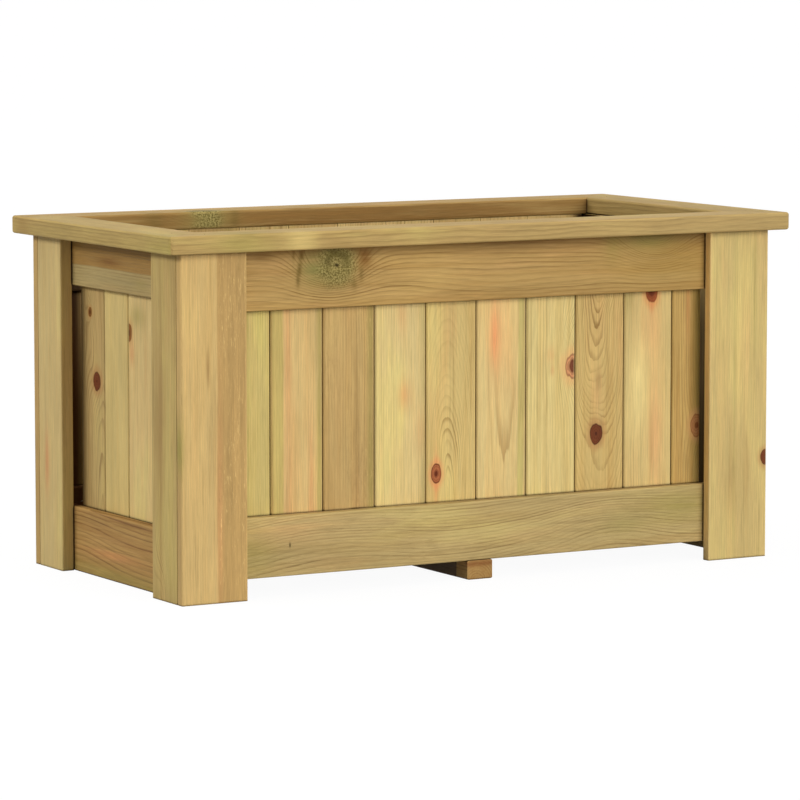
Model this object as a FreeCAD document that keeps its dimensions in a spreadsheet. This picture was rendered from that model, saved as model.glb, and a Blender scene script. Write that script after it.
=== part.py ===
import FreeCAD, Part
import math
import os
import re

import Sketcher

# Raised bed: tongue-and-groove planks inside rails and L-shaped corner posts, under a mitred rim.
# Millimetres, +Z up, the origin on the ground under the middle of the bed, +X along its length.

# Driving dimensions
SIZES = {
    "overall_length": 800,
    "overall_depth": 400,
    "overall_height": 400,
    "long_rim_width": 54,
    "end_rim_width": 58,
    "rim_thickness": 20,
    "rim_rounding": 3,
    "rim_corner_rounding": 5,
    "long_overhang": 15,
    "end_overhang": 20,
    "face_board_width": 80,
    "face_board_thickness": 12,
    "side_board_width": 60,
    "side_board_thickness": 15,
    "rail_thickness": 12,
    "long_top_rail_height": 66.5,
    "long_bottom_rail_height": 67,
    "end_top_rail_height": 55,
    "end_bottom_rail_height": 73.5,
    "board_rounding": 2,
    "long_plank_pitch": 65.35,
    "end_plank_pitch": 60,
    "long_corner_plank_width": 78,
    "plank_thickness": 12,
    "plank_overrun": 3.8,
    "long_corner_gap": 4,
    "end_corner_gap": 0.5,
    "plank_joint_gap": 0.6,
    "plank_arris": 1.8,
    "tongue_length": 5,
    "tongue_thickness": 4,
    "tongue_clearance": 0.3,
    "batten_width": 32.5,
    "batten_height": 21.5,
    "ledger_thickness": 16,
    "ledger_height": 20,
    "floor_board_thickness": 12,
    "floor_board_gap": 8,
    "floor_end_clearance": 1,
    "wire_width": 1.6,
    "wire_thickness": 1.4,
    "wire_clearance": 0.1,
    "wire_recess": 0.3,
    "staple_crown": 10,
    "staple_length": 20,
    "brad_length": 35,
}

# Counts and shares, which stay the same at any size
FLOOR_BOARD_COUNT = 5
SLOTS_PER_SKETCH = 2
LEAST_CUT_SHARE = 0.25
RAIL_STAPLE_SHARES = (0.25, 0.75)
FLOOR_STAPLE_SHARES = (0.25, 0.75)
LEDGER_PLANK_SHARES = (0.15, 0.5, 0.85)
LEDGER_BRAD_HEIGHT_SHARE = 0.4
RIM_BRAD_SHARE = 0.6
ROUNDED_TIP_SHARE = 1 - math.sqrt(0.5)

# A sketch's own numbers for its axes and for the points of a line or an arc
ORIGIN_POINT = (-1, 1)
HORIZONTAL_AXIS, VERTICAL_AXIS = -1, -2
START, END, CENTRE = 1, 2, 3
TOLERANCE = 1e-6

ALONG_X = FreeCAD.Vector(1, 0, 0)
ALONG_Y = FreeCAD.Vector(0, 1, 0)
ALONG_Z = FreeCAD.Vector(0, 0, 1)

doc = FreeCAD.newDocument("raised_bed")
sheet = doc.addObject("Spreadsheet::Sheet", "sizes")
for row, (alias, size) in enumerate(SIZES.items(), start=1):
    sheet.set(f"A{row}", alias)
    sheet.set(f"B{row}", str(size))
    sheet.setAlias(f"B{row}", alias)
doc.recompute()


# Formulas in the sheet's aliases

def formula(text):
    """The text with each alias written as a cell of the sheet."""
    return re.sub(r"[a-z_]+", r"sizes.\g<0>", str(text))


def number(text):
    """The value of a formula in millimetres."""
    value = sheet.evalExpression(formula(text))
    return float(getattr(value, "Value", value))


def share_of(share, text):
    return f"({share} * ({text}))"


# The four sides share one frame: x along the side, -y outwards, turned about Z to its place.

class Side:
    def __init__(self, name, turn, left_corner, right_corner):
        self.name = name
        self.turn = turn
        self.left_corner = left_corner
        self.right_corner = right_corner
        self.is_long = name in ("front", "back")
        if self.is_long:
            self.kind = "long"
            self.post_board = "face"
            self.rim_width = "long_rim_width"
            self.cross_rim_width = "end_rim_width"
            self.span = "overall_length"
            self.reach = "(overall_depth / 2)"
            self.overhang = "long_overhang"
            self.cross_overhang = "end_overhang"
            self.post_thickness = "face_board_thickness"
            self.post_width = "face_board_width"
            self.post_inset = "0"
            self.rail_inset = "side_board_thickness"
            self.free_corner = "rail_thickness"
            self.bottom_rail_lift = "batten_height"
            self.corner_gap = "(rail_thickness + plank_thickness + long_corner_gap)"
        else:
            self.kind = "end"
            self.post_board = "side"
            self.rim_width = "end_rim_width"
            self.cross_rim_width = "long_rim_width"
            self.span = "overall_depth"
            self.reach = "(overall_length / 2)"
            self.overhang = "end_overhang"
            self.cross_overhang = "long_overhang"
            self.post_thickness = "side_board_thickness"
            self.post_width = "side_board_width"
            self.post_inset = "face_board_thickness"
            self.rail_inset = "(face_board_thickness + rail_thickness)"
            self.free_corner = "0"
            self.bottom_rail_lift = "0"
            self.corner_gap = "end_corner_gap"
        self.post_y = f"({self.overhang} - {self.reach})"
        self.rail_y = f"({self.post_y} + {self.post_thickness})"
        self.plank_y = f"({self.rail_y} + rail_thickness)"
        self.inner_y = f"({self.plank_y} + plank_thickness)"
        self.post_end = f"({self.span} / 2 - {self.cross_overhang} - {self.post_inset})"
        self.opening_half = f"({self.post_end} - {self.post_width})"
        self.planks_short = f"({self.opening_half} + plank_overrun)"
        self.rail_half = f"({self.span} / 2 - {self.cross_overhang} - {self.rail_inset})"
        self.planks_far = f"({self.rail_half} - {self.corner_gap})"
        self.staple_x = f"(({self.planks_short} + {self.rail_half} - {self.free_corner}) / 2)"
        self.pitch = f"{self.kind}_plank_pitch"

    def rail_height(self, level):
        return f"{self.kind}_{level}_rail_height"

    def rail_z(self, level):
        if level == "bottom":
            return self.bottom_rail_lift
        return f"({WALL_TOP} - {self.rail_height(level)})"

    def plank_edges(self):
        """Formulas for the x of the planks' edges; a wall fills one corner and stops short of the other."""
        if self.is_long:
            start = f"(long_corner_plank_width - {self.planks_far})"
            stop = self.planks_short
            edges = [f"(0 - {self.planks_far})"]
        else:
            start = f"(0 - {self.planks_short})"
            stop = self.planks_far
            edges = []
        fulls = int(number(f"{stop} - {start}") / number(self.pitch) - LEAST_CUT_SHARE)
        edges += [f"({start} + {i} * {self.pitch})" for i in range(fulls + 1)]
        edges.append(stop)
        return edges

    def in_frame(self, place):
        """A placement on this side, turned to where the side stands."""
        return FreeCAD.Placement(FreeCAD.Vector(), turn_about_z(self.turn)).multiply(place)


WALL_TOP = "(overall_height - rim_thickness)"
LEDGER_TOP = "(batten_height + ledger_height)"
HOLE_WIDTH = "(wire_width + 2 * wire_clearance)"
HOLE_HEIGHT = "(wire_thickness + 2 * wire_clearance)"
SEAT_WIDTH = "(staple_crown + 2 * wire_clearance)"
SEAT_DEPTH = "(wire_thickness + wire_recess + wire_clearance)"
LEG_OFFSET = "((staple_crown - wire_width) / 2)"


def turn_about_z(degrees):
    return FreeCAD.Rotation(ALONG_Z, degrees)


SIDES = (
    Side("front", 0, "front_left", "front_right"),
    Side("right", 90, "front_right", "back_right"),
    Side("back", 180, "back_right", "back_left"),
    Side("left", 270, "back_left", "front_left"),
)
NODES = []


# Sketches and features

def new_body(label):
    body = doc.addObject("PartDesign::Body", label)
    body.Label = label
    NODES.append(body)
    return body


def place(body, side, x, y, z):
    """Binds the body's place, given in the side's frame, to the sheet."""
    across, inwards = {
        0: (x, y),
        90: (f"0 - {y}", x),
        180: (f"0 - {x}", f"0 - {y}"),
        270: (y, f"0 - {x}"),
    }[side.turn]
    body.Placement = FreeCAD.Placement(FreeCAD.Vector(), turn_about_z(side.turn))
    body.setExpression("Placement.Base.x", formula(across))
    body.setExpression("Placement.Base.y", formula(inwards))
    body.setExpression("Placement.Base.z", formula(z))


def new_sketch(body, role, offset="0"):
    plane = next(feature for feature in body.Origin.OriginFeatures if feature.Role == role)
    sketch = body.newObject("Sketcher::SketchObject", "Sketch")
    sketch.AttachmentSupport = [(plane, "")]
    sketch.MapMode = "FlatFace"
    sketch.setExpression("AttachmentOffset.Base.z", formula(offset))
    return sketch


def flat_spot(x, y):
    return FreeCAD.Vector(number(x), number(y), 0)


def arc(start, end, centre):
    """The arc from start to end, anticlockwise about the centre."""
    circle = Part.Circle(centre, ALONG_Z, (start - centre).Length)
    return Part.ArcOfCircle(circle, circle.parameter(start), circle.parameter(end))


def outline(sketch, corners, centres=None):
    """Adds a closed outline through corners, each a pair of formulas.

    centres gives the centre of each side that is an arc, by the number of the corner where it starts.
    """
    centres = centres or {}
    first = sketch.GeometryCount
    spots = [flat_spot(x, y) for x, y in corners]
    shapes = []
    held = []
    bound = {}

    def hold(index, point, direction, axis, text):
        if abs(number(text)) < TOLERANCE:
            held.append(Sketcher.Constraint("PointOnObject", index, point, axis))
            return
        bound[sketch.ConstraintCount + len(held)] = text
        held.append(Sketcher.Constraint(direction, *ORIGIN_POINT, index, point, number(text)))

    for i, (x, y) in enumerate(corners):
        after = (i + 1) % len(corners)
        if i in centres:
            shapes.append(arc(spots[i], spots[after], flat_spot(*centres[i])))
        else:
            shapes.append(Part.LineSegment(spots[i], spots[after]))
        held.append(Sketcher.Constraint("Coincident", first + i, END, first + after, START))
        hold(first + i, START, "DistanceX", VERTICAL_AXIS, x)
        hold(first + i, START, "DistanceY", HORIZONTAL_AXIS, y)
    for i, (x, _) in centres.items():
        hold(first + i, CENTRE, "DistanceX", VERTICAL_AXIS, x)
    sketch.addGeometry(shapes, False)
    sketch.addConstraint(held)
    for index, text in bound.items():
        sketch.setExpression(f"Constraints[{index}]", formula(text))


def pad(body, sketch, length):
    feature = body.newObject("PartDesign::Pad", "Pad")
    feature.Profile = sketch
    feature.setExpression("Length", formula(length))
    doc.recompute()
    return feature


def edges_along(shape, direction):
    """Names of the straight edges that run along a direction."""
    names = []
    for index, edge in enumerate(shape.Edges, start=1):
        run = edge.Vertexes[-1].Point - edge.Vertexes[0].Point
        if run.Length > TOLERANCE and run.cross(direction).Length < TOLERANCE * run.Length:
            names.append(f"Edge{index}")
    return names


def round_edges(body, direction, radius):
    """Eases the arrises that run along the grain."""
    base = body.Tip
    feature = body.newObject("PartDesign::Fillet", "Fillet")
    feature.Base = (base, edges_along(base.Shape, direction))
    feature.setExpression("Radius", formula(radius))
    doc.recompute()


def cut_slots(body, role, spots, width, depth=None, offset="0", reverse=False):
    """Cuts slots as high as the wire, each about its spot; without a depth they go right through."""
    before = body.Shape.Volume
    for start in range(0, len(spots), SLOTS_PER_SKETCH):
        sketch = new_sketch(body, role, offset)
        for x, y in spots[start:start + SLOTS_PER_SKETCH]:
            left = f"({x} - {width} / 2)"
            right = f"({x} + {width} / 2)"
            low = f"({y} - {HOLE_HEIGHT} / 2)"
            high = f"({y} + {HOLE_HEIGHT} / 2)"
            outline(sketch, [(left, low), (right, low), (right, high), (left, high)])
        feature = body.newObject("PartDesign::Pocket", "Pocket")
        feature.Profile = sketch
        feature.Reversed = reverse
        feature.Type = "ThroughAll" if depth is None else "Length"
        if depth is not None:
            feature.setExpression("Length", formula(depth))
    doc.recompute()
    if body.Shape.Volume > before - TOLERANCE:
        raise RuntimeError(f"{body.Label}: a slot cuts nothing")


def leg_spots(spots):
    """The places of the two legs of each staple, whose crown lies along the first direction."""
    return [(f"({x} + {sign} * {LEG_OFFSET})", y) for x, y in spots for sign in (-1, 1)]


def box_body(label, length, depth, height):
    """A board with its corner at its own origin, before its arrises are eased."""
    body = new_body(label)
    sketch = new_sketch(body, "XY_Plane")
    outline(sketch, [("0", "0"), (length, "0"), (length, depth), ("0", depth)])
    pad(body, sketch, height)
    return body


# Corner posts: a face board on the long side, and behind it a side board on the end

def rail_staple_heights(side, level):
    height = side.rail_height(level)
    return [f"({side.rail_z(level)} + {share_of(share, height)})" for share in RAIL_STAPLE_SHARES]


def rim_brad_x(side):
    return f"({side.opening_half} + {share_of(RIM_BRAD_SHARE, side.post_width)})"


def post_boards(side):
    for corner, sign in ((side.left_corner, -1), (side.right_corner, 1)):
        start = f"(0 - {side.post_end})" if sign < 0 else side.opening_half
        body = box_body(f"post_{corner}_{side.post_board}", side.post_width, side.post_thickness, WALL_TOP)
        round_edges(body, ALONG_Z, "board_rounding")
        line = f"({sign} * {side.staple_x} - {start})"
        heights = rail_staple_heights(side, "bottom") + rail_staple_heights(side, "top")
        bite = "(staple_length - rail_thickness + wire_clearance)"
        cut_slots(body, "XZ_Plane", leg_spots([(line, z) for z in heights]), HOLE_WIDTH, bite,
                  f"0 - {side.post_thickness}", reverse=True)
        spot = (f"({sign} * {rim_brad_x(side)} - {start})", f"({side.post_thickness} / 2)")
        cut_slots(body, "XY_Plane", [spot], HOLE_WIDTH,
                  "(brad_length - rim_thickness + wire_clearance)", WALL_TOP)
        place(body, side, start, side.post_y, "0")


# Rails: stapled to the posts from inside, beside or behind the planks

def ledger_brad_xs(side):
    """Formulas for the x of the ledger's brads, each at the middle of a plank."""
    edges = side.plank_edges()
    count = len(edges) - 1
    picks = [int(share * count) for share in LEDGER_PLANK_SHARES]
    return {i: f"(({edges[i]} + {edges[i + 1]}) / 2)" for i in picks}


def rails(side):
    for level in ("bottom", "top"):
        height = side.rail_height(level)
        body = box_body(f"rail_{side.name}_{level}", f"(2 * {side.rail_half})", "rail_thickness", height)
        round_edges(body, ALONG_X, "board_rounding")
        lines = [f"({side.rail_half} + {sign} * {side.staple_x})" for sign in (-1, 1)]
        spots = [(x, share_of(share, height)) for x in lines for share in RAIL_STAPLE_SHARES]
        cut_slots(body, "XZ_Plane", leg_spots(spots), HOLE_WIDTH)
        cut_slots(body, "XZ_Plane", spots, SEAT_WIDTH, SEAT_DEPTH, "0 - rail_thickness", reverse=True)
        if side.is_long and level == "bottom":
            reach = "(brad_length - ledger_thickness - plank_thickness + wire_clearance)"
            spots = [(f"({side.rail_half} + {x})", share_of(LEDGER_BRAD_HEIGHT_SHARE, "ledger_height"))
                     for x in ledger_brad_xs(side).values()]
            cut_slots(body, "XZ_Plane", spots, HOLE_WIDTH, reach, "0 - rail_thickness", reverse=True)
            cut_slots(body, "XY_Plane", [(side.rail_half, "(rail_thickness / 2)")], HOLE_WIDTH,
                      "(brad_length - batten_height + wire_clearance)", reverse=True)
        place(body, side, f"(0 - {side.rail_half})", side.rail_y, side.rail_z(level))


# Planks: groove on the left edge, tongue on the right edge, eased arrises on the outer face

def plank_outline(width, has_groove, has_tongue):
    left = "(plank_joint_gap / 2)"
    right = f"({width} - plank_joint_gap / 2)"
    tongue_low = "((plank_thickness - tongue_thickness) / 2)"
    tongue_high = "((plank_thickness + tongue_thickness) / 2)"
    groove_low = "((plank_thickness - tongue_thickness) / 2 - tongue_clearance)"
    groove_high = "((plank_thickness + tongue_thickness) / 2 + tongue_clearance)"
    tip = f"({right} + tongue_length)"
    bottom_of_groove = f"({left} - plank_joint_gap + tongue_length + tongue_clearance)"
    corners = [(f"({left} + plank_arris)", "0"), (f"({right} - plank_arris)", "0"), (right, "plank_arris")]
    if has_tongue:
        corners += [(right, tongue_low), (tip, tongue_low), (tip, tongue_high), (right, tongue_high)]
    corners += [(right, "plank_thickness"), (left, "plank_thickness")]
    if has_groove:
        corners += [(left, groove_high), (bottom_of_groove, groove_high),
                    (bottom_of_groove, groove_low), (left, groove_low)]
    corners.append((left, "plank_arris"))
    return corners


def planks(side):
    edges = side.plank_edges()
    count = len(edges) - 1
    bradded = ledger_brad_xs(side) if side.is_long else {}
    for i in range(count):
        width = f"({edges[i + 1]} - {edges[i]})"
        body = new_body(f"plank_{side.name}_{i + 1:02d}")
        sketch = new_sketch(body, "XY_Plane")
        outline(sketch, plank_outline(width, has_groove=i > 0, has_tongue=i + 1 < count))
        pad(body, sketch, f"({WALL_TOP} - batten_height)")
        if i in bradded:
            spot = (f"({width} / 2)", share_of(LEDGER_BRAD_HEIGHT_SHARE, "ledger_height"))
            cut_slots(body, "XZ_Plane", [spot], HOLE_WIDTH)
        place(body, side, edges[i], side.plank_y, "batten_height")


# Rim: four boards with mitred ends, held down by brads in the tops of the posts

def rim_outline(side):
    """The corners and the arcs' centres; two boards that meet at a mitre share its rounded corner."""
    radius = "rim_corner_rounding"
    tip = share_of(ROUNDED_TIP_SHARE, radius)
    far = f"({side.span} - {radius})"
    corners = [
        (radius, "0"),
        (far, "0"),
        (f"({side.span} - {tip})", tip),
        (f"({side.span} - {side.cross_rim_width})", side.rim_width),
        (side.cross_rim_width, side.rim_width),
        (tip, tip),
    ]
    return corners, {1: (far, radius), 5: (radius, radius)}


def rim_board(side):
    body = new_body(f"rim_{side.name}")
    sketch = new_sketch(body, "XY_Plane")
    outline(sketch, *rim_outline(side))
    pad(body, sketch, "rim_thickness")
    round_edges(body, ALONG_X, "rim_rounding")
    line = f"({side.overhang} + {side.post_thickness} / 2)"
    spots = [(f"({side.span} / 2 + {sign} * {rim_brad_x(side)})", line) for sign in (-1, 1)]
    cut_slots(body, "XY_Plane", spots, HOLE_WIDTH, reverse=True)
    place(body, side, f"(0 - {side.span} / 2)", f"(0 - {side.reach})", WALL_TOP)


# Floor: ledgers along the long walls, boards across them, a batten on the ground under the middle

END_WALL = "(side_board_thickness + rail_thickness + plank_thickness)"
LONG_WALL = "(face_board_thickness + rail_thickness + plank_thickness)"
FLOOR_HALF_LENGTH = f"(overall_length / 2 - end_overhang - {END_WALL})"
FLOOR_HALF_DEPTH = f"(overall_depth / 2 - long_overhang - {LONG_WALL})"
FLOOR_RUN = f"(2 * {FLOOR_HALF_LENGTH} - 2 * floor_end_clearance)"
FLOOR_PITCH = f"(({FLOOR_RUN} + floor_board_gap) / {FLOOR_BOARD_COUNT})"
FLOOR_BOARD_WIDTH = f"({FLOOR_PITCH} - floor_board_gap)"
FLOOR_BOARD_LENGTH = f"(2 * {FLOOR_HALF_DEPTH} - 2 * floor_end_clearance)"


def floor_board_start(index):
    return f"(floor_end_clearance - {FLOOR_HALF_LENGTH} + {index} * {FLOOR_PITCH})"


def floor_staple_xs():
    return [f"({floor_board_start(i)} + {share_of(share, FLOOR_BOARD_WIDTH)})"
            for i in range(FLOOR_BOARD_COUNT) for share in FLOOR_STAPLE_SHARES]


def ledger(side):
    length = f"(2 * {FLOOR_HALF_LENGTH})"
    body = box_body(f"ledger_{side.name}", length, "ledger_thickness", "ledger_height")
    round_edges(body, ALONG_X, "board_rounding")
    brad_height = share_of(LEDGER_BRAD_HEIGHT_SHARE, "ledger_height")
    spots = [(f"({FLOOR_HALF_LENGTH} + {x})", brad_height) for x in ledger_brad_xs(side).values()]
    cut_slots(body, "XZ_Plane", spots, HOLE_WIDTH)
    spots = [(f"({FLOOR_HALF_LENGTH} + {x})", "(ledger_thickness / 2)") for x in floor_staple_xs()]
    cut_slots(body, "XY_Plane", leg_spots(spots), HOLE_WIDTH,
              "(staple_length - floor_board_thickness + wire_clearance)", "ledger_height")
    place(body, side, f"(0 - {FLOOR_HALF_LENGTH})", side.inner_y, "batten_height")


def floor_boards(side):
    near = "(ledger_thickness / 2 - floor_end_clearance)"
    far = f"({FLOOR_BOARD_LENGTH} - {near})"
    spots = [(share_of(share, FLOOR_BOARD_WIDTH), y) for share in FLOOR_STAPLE_SHARES for y in (near, far)]
    for i in range(FLOOR_BOARD_COUNT):
        name = f"floor_board_{i + 1}"
        body = box_body(name, FLOOR_BOARD_WIDTH, FLOOR_BOARD_LENGTH, "floor_board_thickness")
        round_edges(body, ALONG_Y, "board_rounding")
        cut_slots(body, "XY_Plane", leg_spots(spots), HOLE_WIDTH, reverse=True)
        cut_slots(body, "XY_Plane", spots, SEAT_WIDTH, SEAT_DEPTH, "floor_board_thickness")
        place(body, side, floor_board_start(i), f"(0 - {FLOOR_BOARD_LENGTH} / 2)", LEDGER_TOP)


def centre_batten(side):
    length = f"(0 - 2 * {side.rail_y})"
    body = box_body("centre_batten", "batten_width", length, "batten_height")
    round_edges(body, ALONG_Y, "board_rounding")
    far = f"({length} - rail_thickness / 2)"
    spots = [("(batten_width / 2)", y) for y in ("(rail_thickness / 2)", far)]
    cut_slots(body, "XY_Plane", spots, HOLE_WIDTH, reverse=True)
    place(body, side, "(0 - batten_width / 2)", side.rail_y, "0")


# Fasteners: one staple and one brad, copied to their places

def extruded(corners):
    """A solid as thick as the wire about the plane of its outline, each corner a pair of formulas."""
    half = number("wire_thickness / 2")
    spots = [FreeCAD.Vector(number(x), -half, number(z)) for x, z in corners]
    face = Part.Face(Part.makePolygon(spots + spots[:1]))
    return face.extrude(FreeCAD.Vector(0, 2 * half, 0))


def staple_shape():
    """A staple with the middle of its crown's top at the origin and its legs down."""
    outer = "staple_crown / 2"
    inner = "staple_crown / 2 - wire_width"
    under_crown = "0 - wire_thickness"
    tip = "wire_recess - staple_length"
    return extruded([(f"0 - {outer}", "0"), (outer, "0"), (outer, tip), (inner, tip), (inner, under_crown),
                     (f"0 - ({inner})", under_crown), (f"0 - ({inner})", tip), (f"0 - {outer}", tip)])


def brad_shape():
    """A brad with the middle of its top at the origin and its point down."""
    side_x = "wire_width / 2"
    tip = "wire_recess - brad_length"
    return extruded([(f"0 - {side_x}", "0"), (side_x, "0"), (side_x, tip), (f"0 - {side_x}", tip)])


def put(shape, side, x, y, z, rotation):
    copy = shape.copy()
    copy.Placement = side.in_frame(FreeCAD.Placement(FreeCAD.Vector(x, y, z), rotation))
    return copy


def group(label, shapes):
    """One node that holds separate identical solids."""
    feature = doc.addObject("Part::Feature", label)
    feature.Label = label
    feature.Shape = Part.makeCompound(shapes)
    feature.Placement = FreeCAD.Placement()
    NODES.append(feature)


POINT_DOWN = FreeCAD.Rotation()
POINT_OUT = FreeCAD.Rotation(ALONG_X, -90)
POINT_UP = FreeCAD.Rotation(ALONG_X, 180)


def fasteners():
    staple = staple_shape()
    brad = brad_shape()
    recess = number("wire_recess")
    staples = []
    brads = []
    for side in SIDES:
        x = number(rim_brad_x(side))
        y = number(f"{side.post_y} + {side.post_thickness} / 2")
        z = number("overall_height") - recess
        brads += [put(brad, side, sign * x, y, z, POINT_DOWN) for sign in (-1, 1)]
        y = number(side.plank_y) - recess
        for level in ("bottom", "top"):
            for z in rail_staple_heights(side, level):
                for sign in (-1, 1):
                    staples.append(put(staple, side, sign * number(side.staple_x), y, number(z), POINT_OUT))
        if not side.is_long:
            continue
        y = number(side.inner_y) + number("ledger_thickness") - recess
        z = number(f"batten_height + {share_of(LEDGER_BRAD_HEIGHT_SHARE, 'ledger_height')}")
        for x in ledger_brad_xs(side).values():
            brads.append(put(brad, side, number(x), y, z, POINT_OUT))
        y = number(side.inner_y) + number("ledger_thickness") / 2
        z = number(LEDGER_TOP) + number("floor_board_thickness") - recess
        for x in floor_staple_xs():
            staples.append(put(staple, side, number(x), y, z, POINT_DOWN))
        y = number(side.rail_y) + number("rail_thickness") / 2
        brads.append(put(brad, side, 0, y, recess, POINT_UP))
    group("staples", staples)
    group("brads", brads)


for wall in SIDES:
    post_boards(wall)
    rails(wall)
    planks(wall)
    rim_board(wall)
    if wall.is_long:
        ledger(wall)
front = SIDES[0]
floor_boards(front)
centre_batten(front)
fasteners()
doc.recompute()


# Checks before anything is written

for item in doc.Objects:
    if "Invalid" in item.State or "Error" in item.State:
        raise RuntimeError(f"{item.Label} failed: {item.State}")
for node in NODES:
    if node.Shape.isNull() or not node.Shape.isValid():
        raise RuntimeError(f"{node.Label} has no valid shape")

os.makedirs("parts", exist_ok=True)
for node in NODES:
    node.Shape.exportStep(f"parts/{node.Label}.step")
print(len(NODES), "nodes written")
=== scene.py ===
import math
import random

import bmesh
import bpy
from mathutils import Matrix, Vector


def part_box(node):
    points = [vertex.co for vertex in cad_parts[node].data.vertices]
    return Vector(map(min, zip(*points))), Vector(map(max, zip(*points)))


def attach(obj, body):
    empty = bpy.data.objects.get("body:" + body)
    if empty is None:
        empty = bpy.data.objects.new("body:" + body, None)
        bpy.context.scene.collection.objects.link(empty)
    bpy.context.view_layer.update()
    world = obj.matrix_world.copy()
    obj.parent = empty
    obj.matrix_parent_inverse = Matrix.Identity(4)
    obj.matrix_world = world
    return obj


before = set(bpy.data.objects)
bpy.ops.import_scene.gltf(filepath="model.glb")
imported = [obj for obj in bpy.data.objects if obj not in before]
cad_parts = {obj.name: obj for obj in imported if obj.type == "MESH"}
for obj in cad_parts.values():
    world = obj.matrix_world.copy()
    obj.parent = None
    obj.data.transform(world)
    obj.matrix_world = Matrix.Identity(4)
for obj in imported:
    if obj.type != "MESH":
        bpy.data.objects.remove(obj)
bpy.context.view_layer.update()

# Wooden raised bed of pressure-treated pine: each board has its own grain, knots and stain marks,
# and some carry painted shade or painted light.
# Metres, +Z up. Frame axes are numbered 0, 1 and 2 for X, Y and Z.

X, Y, Z = 0, 1, 2


def srgb(red, green, blue):
    """A colour of 0 to 255 steps as the linear colour that a shader takes."""
    steps = (red / 255, green / 255, blue / 255)
    linear = [s / 12.92 if s <= 0.04045 else ((s + 0.055) / 1.055) ** 2.4 for s in steps]
    return (*linear, 1.0)


def new_object(name, data):
    made = bpy.data.objects.new(name, data)
    bpy.context.scene.collection.objects.link(made)
    return made


# Shader building

class Shade:
    """A material whose nodes are made by short calls; each returns the socket that carries its result."""

    def __init__(self, name):
        self.material = bpy.data.materials.new(name)
        self.material.use_nodes = True
        self.tree = self.material.node_tree
        self.tree.nodes.clear()

    def node(self, kind, **settings):
        made = self.tree.nodes.new(kind)
        for key, value in settings.items():
            setattr(made, key, value)
        return made

    def put(self, socket, value):
        if isinstance(value, bpy.types.NodeSocket):
            self.tree.links.new(value, socket)
        elif socket.type == "VECTOR":
            socket.default_value = value[:3]
        else:
            socket.default_value = value

    def math(self, operation, *values):
        made = self.node("ShaderNodeMath", operation=operation)
        for socket, value in zip(made.inputs, values):
            self.put(socket, value)
        return made.outputs[0]

    def add(self, a, b):
        return self.math("ADD", a, b)

    def minus(self, a, b):
        return self.math("SUBTRACT", a, b)

    def times(self, a, b):
        return self.math("MULTIPLY", a, b)

    def times_add(self, a, b, c):
        return self.math("MULTIPLY_ADD", a, b, c)

    def length(self, a, b):
        return self.math("SQRT", self.add(self.times(a, a), self.times(b, b)))

    def step(self, value, start, end):
        """0 at start and 1 at end, whichever is the greater, smooth between."""
        made = self.node("ShaderNodeMapRange", interpolation_type="SMOOTHSTEP")
        rises = end > start
        self.put(made.inputs["Value"], value)
        made.inputs["From Min"].default_value = min(start, end)
        made.inputs["From Max"].default_value = max(start, end)
        made.inputs["To Min"].default_value = 0.0 if rises else 1.0
        made.inputs["To Max"].default_value = 1.0 if rises else 0.0
        return made.outputs["Result"]

    def vector(self, x, y, z):
        made = self.node("ShaderNodeCombineXYZ")
        for socket, value in zip(made.inputs, (x, y, z)):
            self.put(socket, value)
        return made.outputs[0]

    def noise(self, vector, scale, detail=2.0, roughness=0.5):
        made = self.node("ShaderNodeTexNoise")
        self.put(made.inputs["Vector"], vector)
        made.inputs["Scale"].default_value = scale
        made.inputs["Detail"].default_value = detail
        made.inputs["Roughness"].default_value = roughness
        return made.outputs[0]

    def mix(self, factor, a, b):
        made = self.node("ShaderNodeMix", data_type="RGBA")
        self.put(made.inputs[0], factor)
        self.put(made.inputs[6], a)
        self.put(made.inputs[7], b)
        return made.outputs[2]

    def tone(self, colour, value):
        """The colour times a plain value."""
        made = self.node("ShaderNodeVectorMath", operation="SCALE")
        self.put(made.inputs[0], colour)
        self.put(made.inputs["Scale"], value)
        return made.outputs[0]

    def object_axes(self, kind="Object"):
        split = self.node("ShaderNodeSeparateXYZ")
        self.put(split.inputs[0], self.node("ShaderNodeTexCoord").outputs[kind])
        return split.outputs

    def finish(self, colour, roughness, height, metallic=0.0, specular=0.25, bump=0.0004):
        bsdf = self.node("ShaderNodeBsdfPrincipled")
        self.put(bsdf.inputs["Base Color"], colour)
        self.put(bsdf.inputs["Roughness"], roughness)
        bsdf.inputs["Metallic"].default_value = metallic
        bsdf.inputs["Specular IOR Level"].default_value = specular
        relief = self.node("ShaderNodeBump")
        relief.inputs["Strength"].default_value = 0.4
        relief.inputs["Distance"].default_value = bump
        self.put(relief.inputs["Height"], height)
        self.put(bsdf.inputs["Normal"], relief.outputs[0])
        output = self.node("ShaderNodeOutputMaterial")
        self.put(output.inputs["Surface"], bsdf.outputs[0])
        return self.material


# Wood

# Each kind of knot: colours of its heart, its body and the wood round it, how far out the heart
# reaches in half sizes, and how dark its rim is
KNOTS = {
    "red": dict(heart=srgb(84, 32, 14), body=srgb(164, 96, 58), halo=srgb(218, 142, 90), core=0.3, rim=0.9),
    "dark": dict(heart=srgb(72, 34, 18), body=srgb(114, 60, 32), halo=srgb(176, 126, 76), core=0.16,
                 rim=0.6),
    "eye": dict(heart=srgb(96, 44, 28), body=srgb(206, 146, 98), halo=srgb(222, 166, 108), core=0.56,
                rim=0.4),
    "faint": dict(heart=srgb(122, 74, 38), body=srgb(178, 124, 76), halo=srgb(204, 152, 96), core=0.2,
                  rim=0.5),
    "rusty": dict(heart=srgb(108, 50, 26), body=srgb(148, 78, 42), halo=srgb(216, 142, 82), core=0.5,
                  rim=0.2),
    "brown": dict(heart=srgb(92, 54, 20), body=srgb(136, 88, 40), halo=srgb(190, 142, 84), core=0.4,
                  rim=0.2),
}
OLIVE = srgb(150, 138, 70)
GREEN = srgb(198, 190, 108)
PEACH = srgb(222, 172, 114)
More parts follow.
